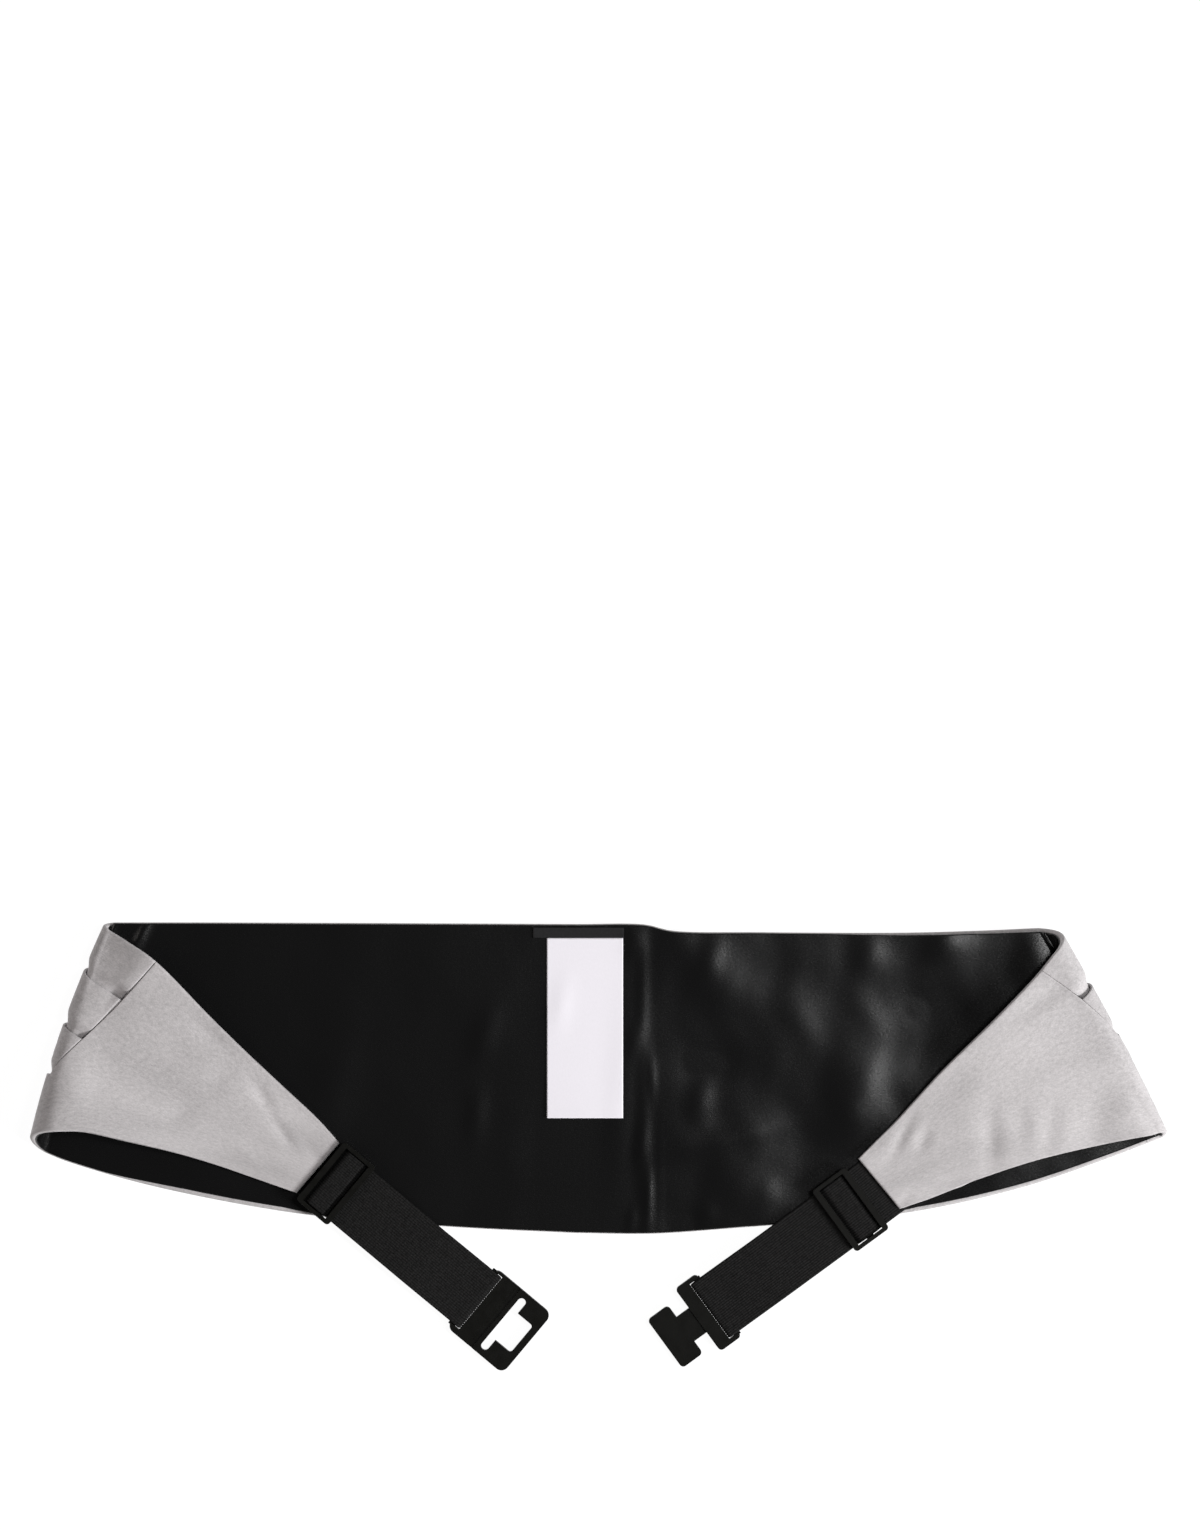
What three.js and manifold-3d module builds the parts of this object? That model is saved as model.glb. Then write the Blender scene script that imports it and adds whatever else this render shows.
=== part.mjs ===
/**
 * A grey satin cummerbund lying face down on a table with both ends folded over.
 *
 * Millimetres, +X right and +Y up as one looks down on it, +Z up from the table. The band is one
 * soft sheet made of layers. A place on it is given along its length and across its width, and a
 * depth says how far it lies from the face side towards the lining.
 */
import * as THREE from 'three';
import { mergeVertices } from 'three/addons/utils/BufferGeometryUtils.js';
import initManifold from 'manifold-3d';

const manifold = await initManifold();
manifold.setup();
const { Manifold, Mesh } = manifold;

// Layers of the band, as depths from the face side
const clearance = 0.3;
const pleatRise = 0.8;
const sideFace = 0.4;
const satinBack = 1.6;
const liningThickness = 1.0;
const layerGap = 0.4;
const seamGap = 0.5;
const liningFace = satinBack + layerGap;
const liningBack = liningFace + liningThickness;
const restHeight = 2 * liningBack + layerGap;
const liningInset = 0.9;
const bandWidth = 117;

// Pleats across the front panel: each starts with its folded edge, as a share of the width
const pleatStarts = [0, 0.229, 0.465, 0.695];
const crestShare = 0.05;
const foldShare = 0.004;

// Straps, sliders and clasps
const webbing = { width: 25, thickness: 1.0, tuck: 12 };
const slider = { length: 15.6, wall: 1.5, bar: 2.3, thickness: 2.2, corner: 1.4 };
const centreBar = { width: 3.0, thickness: 1.0, drop: 0.9 };
const clasp = { width: webbing.width + 4.3, thickness: 3.0, lugLength: 4.1, offset: -0.5 };
const claspBar = { width: 2.8, thickness: 1.2, base: 1.4, seat: 0.7, inset: 1.8 };
const eye = { length: 23.7, corner: 3.0, slotAt: 11.9, slotWidth: 3.2, slotLength: webbing.width - 0.4 };
const eyeWindow = { width: 13.2, end: 21.0, corner: 1.2, intoSlot: 2.4 };
const slotCorner = 0.49 * eye.slotWidth;
const eyeGroove = { start: 6.5, end: 8.4, depth: 0.5 };
const hook = { plate: 5.8, neckEnd: 11.6, neckWidth: 11.4, length: 21.3, barWidth: 22.6 };
const hookEdge = { corner: 1.6, thickness: 2.2 };

// How far a cutting block runs past what it cuts, and a joined one runs into its neighbour
const overrun = 1;

// Labels sewn to the lining: how far each reaches left and right of the middle and across the band
const wovenLabelPlace = { left: -16.7, right: 17.8, top: -0.9, bottom: -4.8 };
const careLabelPlace = { left: -11.4, right: 17.5, top: -5.1, bottom: -73.2 };
const labelThickness = 0.4;

// The pressed crease right of the middle of the band
const crease = { x: 31, halfWidth: 5, height: 1.2 };

// How the band is folded over at each end, by its top edge, its middle line and its bottom edge.
// x runs outwards from the middle on both sides. body rows: x, y on the table. loop: the half turn,
// where drift is how far the line moves along the fold and the slopes are its own slopes there.
// flap rows: x, y of the line lying on top, and its lift above where it rests.
const ends = {
  left: {
    side: -1,
    tilt: 18.75,
    seam: [208, 212, 211],
    strapAngle: 39.9,
    strapStart: [98.1, -92.1],
    sliderAt: 8.85,
    lines: [
      {
        body: [[0, 0.4], [86, 0.8], [143, 1.0], [175.7, 1.0]],
        loop: { radius: 3.5, drift: 3.2, startSlope: 0.34, endSlope: 0.25 },
        flap: [[170.3, -6.0, 0.6], [159.7, -13.2, 0.5], [134.5, -38.9, 0.3], [112.3, -60.1, 0.1],
          [98.0, -73.6, 0], [90.0, -82.6, 0]],
      },
      {
        body: [[0, -58.3], [105, -54.4], [162, -48.2], [189.5, -40.1]],
        loop: { radius: 6.0, drift: 3.9, startSlope: 0.22, endSlope: 0.19 },
        flap: [[171.5, -54.4, 4.9], [150.0, -66.0, 3.1], [130.0, -76.4, 1.2], [110.3, -86.2, 0.1],
          [98.15, -92.05, 0]],
      },
      {
        body: [[0, -117.0], [48.3, -114.6], [105.3, -109.6], [162.3, -98.8], [193.8, -89.7],
          [200.6, -87.0]],
        loop: { radius: 8.5, drift: -10, startSlope: -0.06, endSlope: -0.36 },
        flap: [[186.0, -77.5, 10.0], [169.8, -81.3, 7.0], [150.8, -86.4, 3.0], [136.5, -90.9, 0.9],
          [122.0, -96.0, 0.1], [106.3, -101.5, 0]],
      },
    ],
  },
  right: {
    side: 1,
    tilt: 30,
    seam: [207.8, 212, 221],
    strapAngle: 36.2,
    strapStart: [115.1, -99.3],
    sliderAt: 14.15,
    lines: [
      {
        body: [[0, 0.4], [26, 0.2], [36, -2.1], [69.5, -2.7], [122.7, -2.9], [153.1, -2.1],
          [175.3, -1.1]],
        loop: { radius: 6.8, drift: 10.5, startSlope: 0.577, endSlope: 0.26 },
        flap: [[173.5, -19.0, 6.6], [159.8, -33.5, 5.4], [137.2, -56.0, 2.6], [121.0, -74.0, 0.5],
          [113.5, -81.5, 0], [106.6, -88.5, 0]],
      },
      {
        body: [[0, -58.3], [65.7, -58.6], [122.7, -56.2], [168.0, -50.4], [201.0, -44.5]],
        loop: { radius: 5.5, drift: 3.0, startSlope: 0.34, endSlope: 0 },
        flap: [[185.0, -57.4, 3.9], [160.0, -72.2, 2.9], [140.0, -83.5, 1.2], [125.5, -91.6, 0.1],
          [114.45, -98.0, 0]],
      },
      {
        body: [[0, -117.0], [29.6, -117.2], [65.7, -114.6], [122.7, -109.6], [168.3, -99.8], [202.5, -88.2],
          [221.5, -80.9]],
        loop: { radius: 3.5, drift: -2.3, startSlope: 0.18, endSlope: -0.31 },
        flap: [[216.0, -79.8, 0.6], [198.2, -83.4, 0.5], [175.5, -88.6, 0.3], [152.8, -96.0, 0.1],
          [133.8, -103.6, 0], [122.3, -107.5, 0]],
      },
    ],
  },
};

const lerp = THREE.MathUtils.lerp;
const radians = THREE.MathUtils.degToRad;
const smoothstep = THREE.MathUtils.smoothstep;

// Stations along half the band: the middle, the end of its straight stretch, the fold and the end
const middleRun = 44;
const middleStation = 0.25;
const stations = [0, middleStation, 1, 2, 3];
const seamSteps = 24;

/** A line along the band: on the table up to station 1, round its loop up to 2, on top up to 3. */
function lineCurve(line, tilt) {
  const outward = new THREE.Vector3(Math.cos(tilt), Math.sin(tilt), 0);
  const along = new THREE.Vector3(Math.sin(tilt), -Math.cos(tilt), 0);
  const { radius, drift, startSlope, endSlope } = line.loop;
  const start = new THREE.Vector3(...line.body.at(-1), 0);
  const loopPoint = (turn) => {
    const t = turn / Math.PI;
    const slide = drift * t * t * (3 - 2 * t)
      + radius * startSlope * Math.PI * t * (1 - t) ** 2
      - radius * endSlope * Math.PI * t * t * (1 - t);
    return start.clone()
      .addScaledVector(outward, radius * Math.sin(turn))
      .addScaledVector(along, slide)
      .setZ(radius * (1 - Math.cos(turn)));
  };
  const body = new THREE.CatmullRomCurve3(line.body.map(([x, y]) => new THREE.Vector3(x, y, 0)));
  const flap = new THREE.CatmullRomCurve3([
    loopPoint(Math.PI),
    ...line.flap.map(([x, y, lift]) => new THREE.Vector3(x, y, restHeight + lift)),
  ]);
  const bodyLength = body.getLength();
  let loopLength = 0;
  for (let step = 0; step < 60; step += 1) {
    loopLength += loopPoint((step / 60) * Math.PI).distanceTo(loopPoint(((step + 1) / 60) * Math.PI));
  }
  return {
    stops: [0, middleRun, bodyLength, bodyLength + loopLength, bodyLength + loopLength + flap.getLength()],
    at(station) {
      if (station <= middleStation) {
        return body.getPointAt((station / middleStation) * (middleRun / bodyLength));
      }
      if (station <= 1) {
        const share = (station - middleStation) / (1 - middleStation);
        return body.getPointAt(Math.min(lerp(middleRun / bodyLength, 1, share), 1));
      }
      if (station <= 2) return loopPoint((station - 1) * Math.PI);
      return flap.getPointAt(Math.min(station - 2, 1));
    },
  };
}

/** Weights of the top, middle and bottom lines at a share v of the width: a parabola through them. */
function acrossWeights(v) {
  return [(1 - v) * (1 - 2 * v), 4 * v * (1 - v), v * (2 * v - 1)];
}

/** A number worked out across the width from its values at the top, the middle and the bottom. */
function acrossValue(values, v) {
  return acrossWeights(v).reduce((sum, weight, index) => sum + weight * values[index], 0);
}

/** The face side of one half of the band, as a sheet through its three lines. */
function foldedHalf(end) {
  const curves = end.lines.map((line) => lineCurve(line, radians(end.tilt)));

  const facePoint = (station, v) => {
    const point = new THREE.Vector3();
    acrossWeights(v).forEach((weight, index) => point.addScaledVector(curves[index].at(station), weight));
    const fromCrease = (point.x - crease.x) / crease.halfWidth;
    if (end.side > 0 && station < 1 && Math.abs(fromCrease) < 1) {
      point.z += crease.height * Math.cos(fromCrease * Math.PI / 2) ** 2;
    }
    return point;
  };
  return {
    flapLength: Math.min(...curves.map(({ stops }) => stops[4] - stops[3])),
    /** The station that lies a given run out from the middle, measured along the cloth. */
    stationAt(run, v) {
      const stops = stations.map((_, index) => acrossValue(curves.map((curve) => curve.stops[index]), v));
      const part = Math.min(stops.findLastIndex((stop) => stop <= run), stations.length - 2);
      const share = (run - stops[part]) / (stops[part + 1] - stops[part]);
      return lerp(stations[part], stations[part + 1], share);
    },
    /** The point at a station, a share v of the width and a depth towards the lining. */
    at(station, v, depth) {
      const step = 0.01;
      const low = Math.max(station - step, 0);
      const lengthwise = facePoint(Math.min(station + step, 3), v).sub(facePoint(low, v));
      const upper = facePoint(station, Math.max(v - step, 0));
      const across = facePoint(station, Math.min(v + step, 1)).sub(upper);
      const towardsLining = across.cross(lengthwise).normalize();
      const point = facePoint(station, v).addScaledVector(towardsLining, depth);
      return new THREE.Vector3(point.x * end.side, point.y, point.z);
    },
  };
}

const halves = { left: foldedHalf(ends.left), right: foldedHalf(ends.right) };

/** A point of the band. Stations left of the middle are negative. */
function bandPoint(station, v, depth) {
  return (station < 0 ? halves.left : halves.right).at(Math.abs(station), v, depth);
}

/** A closed slab over a grid: a box with as many segments, whose corners are moved to their places. */
function slab(alongCount, acrossCount, place) {
  const geometry = new THREE.BoxGeometry(1, 1, 1, alongCount, acrossCount, 1);
  const corners = geometry.attributes.position;
  for (let index = 0; index < corners.count; index += 1) {
    const i = Math.round((corners.getX(index) + 0.5) * alongCount);
    const j = Math.round((0.5 - corners.getY(index)) * acrossCount);
    const point = place(i, j, corners.getZ(index) > 0);
    corners.setXYZ(index, point.x, point.y, point.z);
  }
  geometry.computeVertexNormals();
  return geometry;
}

/**
 * A layer of cloth. It is drawn flat, station by width by a unit of thickness, cut to its outline
 * there, and then laid over the folded band between its face depth and its back depth.
 */
function clothLayer(stationList, rows, faceDepth, backDepth, outline) {
  const flat = slab(stationList.length - 1, rows.length - 1, (i, j, isBack) => (
    new THREE.Vector3(stationList[i], -rows[j], isBack ? 1 : 0)
  ));
  const whole = solidOf(flat, true);
  const cut = outline ? whole.intersect(extruded(outline, -overrun, 1 + overrun)) : whole;
  return geometryOf(cut, (station, minusV, share) => (
    bandPoint(station, -minusV, lerp(faceDepth(-minusV), backDepth, share))
  ));
}

/** A closed geometry as a manifold solid. Faces that are numbered stay apart when it is cut. */
function solidOf(geometry, numberFaces = false) {
  const bare = new THREE.BufferGeometry();
  bare.setAttribute('position', geometry.attributes.position);
  bare.setIndex(geometry.index);
  const merged = mergeVertices(bare, 1e-5);
  const triVerts = new Uint32Array(merged.index.array);
  const mesh = { numProp: 3, vertProperties: new Float32Array(merged.attributes.position.array), triVerts };
  if (numberFaces) mesh.faceID = new Uint32Array(triVerts.length / 3).map((_, index) => index);
  return new Manifold(new Mesh(mesh));
}

/** A flat outline made solid from one height to another. Its round corners have six steps each. */
function extruded(outline, low, high) {
  const settings = { depth: high - low, bevelEnabled: false, curveSegments: 3 };
  return solidOf(new THREE.ExtrudeGeometry(outline, settings).translate(0, 0, low));
}

/** A block from s0 to s1 along X, centred across, from one height to another. */
function block(s0, s1, width, low, high) {
  const geometry = new THREE.BoxGeometry(s1 - s0, width, high - low);
  return solidOf(geometry.translate((s0 + s1) / 2, 0, (low + high) / 2));
}

/** A manifold solid as a geometry, with each of its corners moved to its place. */
function geometryOf(solid, place) {
  const mesh = solid.getMesh();
  const positions = [];
  for (let index = 0; index < mesh.vertProperties.length; index += mesh.numProp) {
    const point = place(...mesh.vertProperties.slice(index, index + 3));
    positions.push(point.x, point.y, point.z);
  }
  const geometry = new THREE.BufferGeometry();
  geometry.setAttribute('position', new THREE.Float32BufferAttribute(positions, 3));
  geometry.setIndex(Array.from(mesh.triVerts));
  geometry.computeVertexNormals();
  return geometry;
}

/** A closed outline through points. */
function outlineThrough(points) {
  return new THREE.Shape(points.map(([x, y]) => new THREE.Vector2(x, y)));
}

/** A seam drawn on the flat: its station at even steps across the width, moved outwards by a gap. */
function seamLine(name, gap) {
  const end = ends[name];
  const points = [];
  for (let step = 0; step <= seamSteps; step += 1) {
    const v = step / seamSteps;
    const run = acrossValue(end.seam, v) + gap;
    points.push([end.side * halves[name].stationAt(run, v), -v]);
  }
  points[0][1] = 0.1;
  points[seamSteps][1] = -1.1;
  return points;
}

/** How deep the face of the pleated panel lies: each pleat starts high and sinks under the next. */
function pleatDepth(v) {
  const index = pleatStarts.findLastIndex((start) => v >= start - 1e-6);
  const start = pleatStarts[index];
  const next = pleatStarts[index + 1] === undefined ? 1 : pleatStarts[index + 1] - foldShare;
  return pleatRise * THREE.MathUtils.clamp((v - start - crestShare) / (next - start - crestShare), 0, 1);
}

/** The rows across the width, which all layers of cloth share so that they lie evenly on each other. */
const acrossRows = pleatStarts.flatMap((start, index) => {
  const next = pleatStarts[index + 1];
  return [start, start + crestShare, ...(next === undefined ? [] : [next - foldShare])];
}).concat(1);

/** A woven ribbon of the given width along a path. path rows: distance along the strap, height. */
function ribbon(path, width, thickness, frame) {
  const points = path.map(([s, z]) => new THREE.Vector2(s, z));
  const normals = points.map((point, index) => {
    const before = point.clone().sub(points[Math.max(index - 1, 0)]).normalize();
    const after = points[Math.min(index + 1, points.length - 1)].clone().sub(point).normalize();
    const direction = before.clone().add(after).normalize();
    const straight = index === 0 ? after : before;
    const stretch = 1 / Math.max(direction.dot(straight), 0.5);
    return new THREE.Vector2(-direction.y, direction.x).multiplyScalar(stretch);
  });
  return slab(points.length - 1, 1, (i, j, isTop) => {
    const offset = (isTop ? 0.5 : -0.5) * thickness;
    const place = points[i].clone().addScaledVector(normals[i], offset);
    return frame(place.x, (0.5 - j) * width, place.y);
  });
}

/** A right-handed place on the table: s along the strap away from the band, t to its left, z up. */
function strapFrame(end) {
  const angle = radians(end.strapAngle);
  const heading = new THREE.Vector2(-end.side * Math.cos(angle), -Math.sin(angle));
  const leftward = new THREE.Vector2(-heading.y, heading.x);
  const start = new THREE.Vector2(end.side * end.strapStart[0], end.strapStart[1]);
  return (s, t, z) => {
    const place = start.clone().addScaledVector(heading, s).addScaledVector(leftward, t);
    return new THREE.Vector3(place.x, place.y, z);
  };
}

/** A rectangle with rounded corners, from s0 to s1 and centred across, or a little off the centre. */
function roundedRectangle(s0, s1, width, corner, offset = 0) {
  const low = offset - width / 2;
  const high = offset + width / 2;
  const quarter = Math.PI / 2;
  return new THREE.Shape()
    .absarc(s1 - corner, high - corner, corner, 0, quarter)
    .absarc(s0 + corner, high - corner, corner, quarter, 2 * quarter)
    .absarc(s0 + corner, low + corner, corner, 2 * quarter, 3 * quarter)
    .absarc(s1 - corner, low + corner, corner, 3 * quarter, 4 * quarter);
}

// Heights of the strap's layers where they cross the band, and at the clasp
const strapLength = 80;
const halfWebbing = webbing.thickness / 2;
const returnHeight = liningBack + clearance + halfWebbing;
const mainHeight = returnHeight + webbing.thickness + clearance;
const sliderBase = mainHeight + halfWebbing + clearance;
const overBarHeight = sliderBase - centreBar.drop + centreBar.thickness + clearance + halfWebbing;
const tailHeight = sliderBase - centreBar.drop - clearance - halfWebbing;
const tuckHeight = restHeight - satinBack - clearance - halfWebbing;
const wrapRadius = claspBar.thickness / 2 + clearance + halfWebbing;
const wrapHeight = claspBar.base + claspBar.thickness / 2;
const bandCrossing = 52;

/** The strap: out of the flap, over the slider's centre bar, round the clasp's bar and back beneath. */
function strapPath(end) {
  const c = end.sliderAt;
  const windowHalf = slider.length / 2 - slider.bar - clearance;
  const wrapCentre = strapLength - wrapRadius - halfWebbing;
  const path = [
    [-webbing.tuck + clearance, tuckHeight],
    [0.4, tuckHeight],
    [c - windowHalf, mainHeight],
    [c - windowHalf + 1.8, overBarHeight],
    [c + windowHalf - 1.8, overBarHeight],
    [c + windowHalf, mainHeight],
    [bandCrossing, mainHeight],
    [wrapCentre - 6, wrapHeight + wrapRadius],
  ];
  for (let step = 0; step <= 8; step += 1) {
    const turn = (step / 8) * Math.PI;
    path.push([wrapCentre + wrapRadius * Math.sin(turn), wrapHeight + wrapRadius * Math.cos(turn)]);
  }
  path.push(
    [wrapCentre - 6, wrapHeight - wrapRadius],
    [bandCrossing, returnHeight],
    [c + windowHalf, returnHeight],
    [c - centreBar.width / 2, tailHeight],
  );
  return path;
}

/** The slider: a rounded frame whose centre bar is lower than the two outer ones. */
function sliderSolid(centre) {
  const from = centre - slider.length / 2;
  const to = centre + slider.length / 2;
  const top = sliderBase + slider.thickness;
  const inside = webbing.width + 2 * clearance;
  const outline = roundedRectangle(from, to, inside + 2 * slider.wall, slider.corner);
  const hole = block(from + slider.bar, to - slider.bar, inside, sliderBase - overrun, top + overrun);
  const barFrom = centre - centreBar.width / 2;
  const barBase = sliderBase - centreBar.drop;
  const bar = block(
    barFrom, barFrom + centreBar.width, inside + slider.wall, barBase, barBase + centreBar.thickness,
  );
  return extruded(outline, sliderBase, top).subtract(hole).add(bar);
}

/** The end of a clasp that holds the webbing: two lugs with a thin bar between them. */
function withWebbingBar(plate, thickness) {
  const notchTo = strapLength + clearance;
  const notchFrom = strapLength - clasp.lugLength - overrun;
  const inside = webbing.width + 2 * clearance;
  const notch = block(notchFrom, notchTo, inside, -overrun, thickness + overrun);
  const barTo = strapLength - claspBar.inset;
  const barTop = claspBar.base + claspBar.thickness;
  const bar = block(barTo - claspBar.width, barTo, inside + 2 * claspBar.seat, claspBar.base, barTop);
  return plate.subtract(notch).add(bar);
}

function eyeSolid() {
  const { offset, thickness } = clasp;
  const slotFrom = strapLength + eye.slotAt - eye.slotWidth / 2;
  const slotTo = slotFrom + eye.slotWidth;
  const windowFrom = slotTo - eyeWindow.intoSlot;
  const windowTo = strapLength + eyeWindow.end;
  const from = strapLength - clasp.lugLength;
  const outline = roundedRectangle(from, strapLength + eye.length, clasp.width, eye.corner, offset);
  const slot = roundedRectangle(slotFrom, slotTo, eye.slotLength, slotCorner, offset);
  const window = roundedRectangle(windowFrom, windowTo, eyeWindow.width, eyeWindow.corner, offset);
  const grooveFrom = strapLength + eyeGroove.start;
  const grooveTo = strapLength + eyeGroove.end;
  const groove = block(
    grooveFrom, grooveTo, clasp.width + 2 * overrun, thickness - eyeGroove.depth, thickness + overrun,
  );
  const plate = extruded(outline, 0, thickness)
    .subtract(extruded(slot, -overrun, thickness + overrun))
    .subtract(extruded(window, -overrun, thickness + overrun))
    .subtract(groove);
  return withWebbingBar(plate, thickness);
}

function hookSolid() {
  const from = strapLength - clasp.lugLength;
  const plateTo = strapLength + hook.plate;
  const neckTo = strapLength + hook.neckEnd;
  const outline = roundedRectangle(from, plateTo, clasp.width, hookEdge.corner);
  const neck = block(plateTo - overrun, neckTo + overrun, hook.neckWidth, 0, hookEdge.thickness);
  const bar = roundedRectangle(neckTo, strapLength + hook.length, hook.barWidth, hookEdge.corner);
  return withWebbingBar(extruded(outline, 0, clasp.thickness), clasp.thickness)
    .add(neck)
    .add(extruded(bar, 0, hookEdge.thickness));
}

/** A flat label lying on the lining. */
function labelGeometry({ left, right, top, bottom }) {
  const height = liningBack + clearance + labelThickness / 2;
  const geometry = new THREE.BoxGeometry(right - left, top - bottom, labelThickness);
  return geometry.translate((left + right) / 2, (top + bottom) / 2, height);
}

function look(name, color, roughness) {
  return new THREE.MeshStandardMaterial({ name, color, roughness, metalness: 0 });
}

const satin = look('grey_satin', 0xc3bfc1, 0.5);
const blackSatin = look('black_lining', 0x121214, 0.5);
const elastic = look('black_webbing', 0x1c1c1e, 0.85);
const plastic = look('black_plastic', 0x0c0c0c, 0.25);
const wovenLabel = look('black_label', 0x101010, 0.7);
const careLabel = look('white_label', 0xe9e8e4, 0.7);

const part = new THREE.Group();
part.name = 'cummerbund';

function addPiece(name, geometry, material) {
  const mesh = new THREE.Mesh(geometry, material);
  mesh.name = name;
  part.add(mesh);
}

/** Equally spaced stations from one to another, without the first. */
function stationsBetween(first, last, count) {
  return Array.from({ length: count }, (_, index) => lerp(first, last, (index + 1) / count));
}

// Stations of the grid: close where the band turns over and where it is creased
const creaseStations = [-1, -0.5, 0, 0.5, 1].map((share) => (
  (crease.x + share * crease.halfWidth) * middleStation / middleRun
));
const halfStations = [...stationsBetween(middleStation, 1, 7), ...stationsBetween(1, 2, 15)];
const flapStations = stationsBetween(2, 3, 10);
const mirrored = (list) => list.map((station) => -station).reverse();
const plainStations = [-middleStation, -middleStation / 2, 0, middleStation / 3];
const middleStations = [...plainStations, ...creaseStations, middleStation];
const upToTurns = [...mirrored(halfStations), ...middleStations, ...halfStations];
const wholeBand = [...mirrored(flapStations), ...upToTurns, ...flapStations];

// The pleated front panel, then the plain side panels from the seam to the narrow ends
const sideDepth = () => sideFace;
const frontSeams = [...seamLine('left', 0), ...seamLine('right', 0).reverse()];
const frontOutline = outlineThrough(frontSeams);
addPiece('front_panel', clothLayer(wholeBand, acrossRows, pleatDepth, satinBack, frontOutline), satin);
for (const name of ['left', 'right']) {
  const side = ends[name].side;
  const outerStations = [...halfStations.filter((station) => station > 0.7), ...flapStations];
  const sideStations = side < 0 ? mirrored(outerStations) : outerStations;
  const seam = seamLine(name, seamGap);
  const outline = outlineThrough([...seam, [side * 4, -1.1], [side * 4, 0.1]]);
  const geometry = clothLayer(sideStations, acrossRows, sideDepth, satinBack, outline);
  addPiece(`side_panel_${name}`, geometry, satin);
}

// The lining, inset from the edges and cut short at both ends, where the strap is sewn in
const insetShare = liningInset / bandWidth;
const liningFlap = (half) => {
  const end = 3 - (webbing.tuck + clearance) / half.flapLength;
  return [...flapStations.filter((station) => station < end - 0.02), end];
};
const liningStations = [...mirrored(liningFlap(halves.left)), ...upToTurns, ...liningFlap(halves.right)];
const liningRows = acrossRows.map((v) => lerp(insetShare, 1 - insetShare, v));
addPiece('lining', clothLayer(liningStations, liningRows, () => liningFace, liningBack), blackSatin);

addPiece('woven_label', labelGeometry(wovenLabelPlace), wovenLabel);
addPiece('care_label', labelGeometry(careLabelPlace), careLabel);

// Straps with their sliders and clasps
for (const [name, end] of Object.entries(ends)) {
  const frame = strapFrame(end);
  addPiece(`strap_${name}`, ribbon(strapPath(end), webbing.width, webbing.thickness, frame), elastic);
  addPiece(`slider_${name}`, geometryOf(sliderSolid(end.sliderAt), frame), plastic);
}
addPiece('clasp_eye', geometryOf(eyeSolid(), strapFrame(ends.left)), plastic);
addPiece('clasp_hook', geometryOf(hookSolid(), strapFrame(ends.right)), plastic);

// The origin is under the middle of the whole part
const bounds = new THREE.Box3().setFromObject(part, true);
const middle = bounds.getCenter(new THREE.Vector3());
part.position.set(-middle.x, -middle.y, -bounds.min.z);

export default part;
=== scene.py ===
"""Looks of the grey satin cummerbund: pleated face, black lining, elastic straps, sliders and clasp.

The band's shape is worked out in its own millimetres, x along it and y across it from the top edge, as in
the part's source, and moved to the row frame in metres when a mesh is made.
"""
import math

import bmesh
import bpy
import numpy as np
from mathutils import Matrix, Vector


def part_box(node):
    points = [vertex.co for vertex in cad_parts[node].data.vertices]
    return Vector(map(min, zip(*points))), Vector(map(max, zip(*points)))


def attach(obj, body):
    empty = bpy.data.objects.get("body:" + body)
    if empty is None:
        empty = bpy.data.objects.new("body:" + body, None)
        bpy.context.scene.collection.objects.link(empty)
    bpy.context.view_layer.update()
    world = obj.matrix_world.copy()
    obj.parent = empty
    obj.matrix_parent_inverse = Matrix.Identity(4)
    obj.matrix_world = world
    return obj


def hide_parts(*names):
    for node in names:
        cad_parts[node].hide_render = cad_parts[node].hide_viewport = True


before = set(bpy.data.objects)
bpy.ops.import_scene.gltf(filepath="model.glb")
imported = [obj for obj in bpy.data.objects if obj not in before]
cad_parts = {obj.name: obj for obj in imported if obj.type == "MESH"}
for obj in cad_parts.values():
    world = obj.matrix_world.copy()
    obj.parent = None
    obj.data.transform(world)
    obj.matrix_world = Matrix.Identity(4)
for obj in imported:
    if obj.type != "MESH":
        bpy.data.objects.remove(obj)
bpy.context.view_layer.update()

# Sizes of the band, in millimetres
BAND_WIDTH = 117.0
REST_HEIGHT = 6.4
MIDDLE_RUN = 44.0
MIDDLE_STATION = 0.25
SATIN = 0.36
FACE_LINE = 0.25
HIDDEN_LINE = 0.74
UNDER_LINE = 1.23
PLEAT_STARTS = (0.0, 0.229, 0.465, 0.695)
PLEAT_RETURN = 8.0
LINING_LINE = 2.62
LINING = 0.5
EDGE_RADIUS = 0.95
HEM = 3.0
LINING_STOPS_SHORT = 12.3
LABEL_MIDDLE = (0.55, -2.85)
WEBBING_WIDTH = 25.0
WEBBING = 1.0

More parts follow.
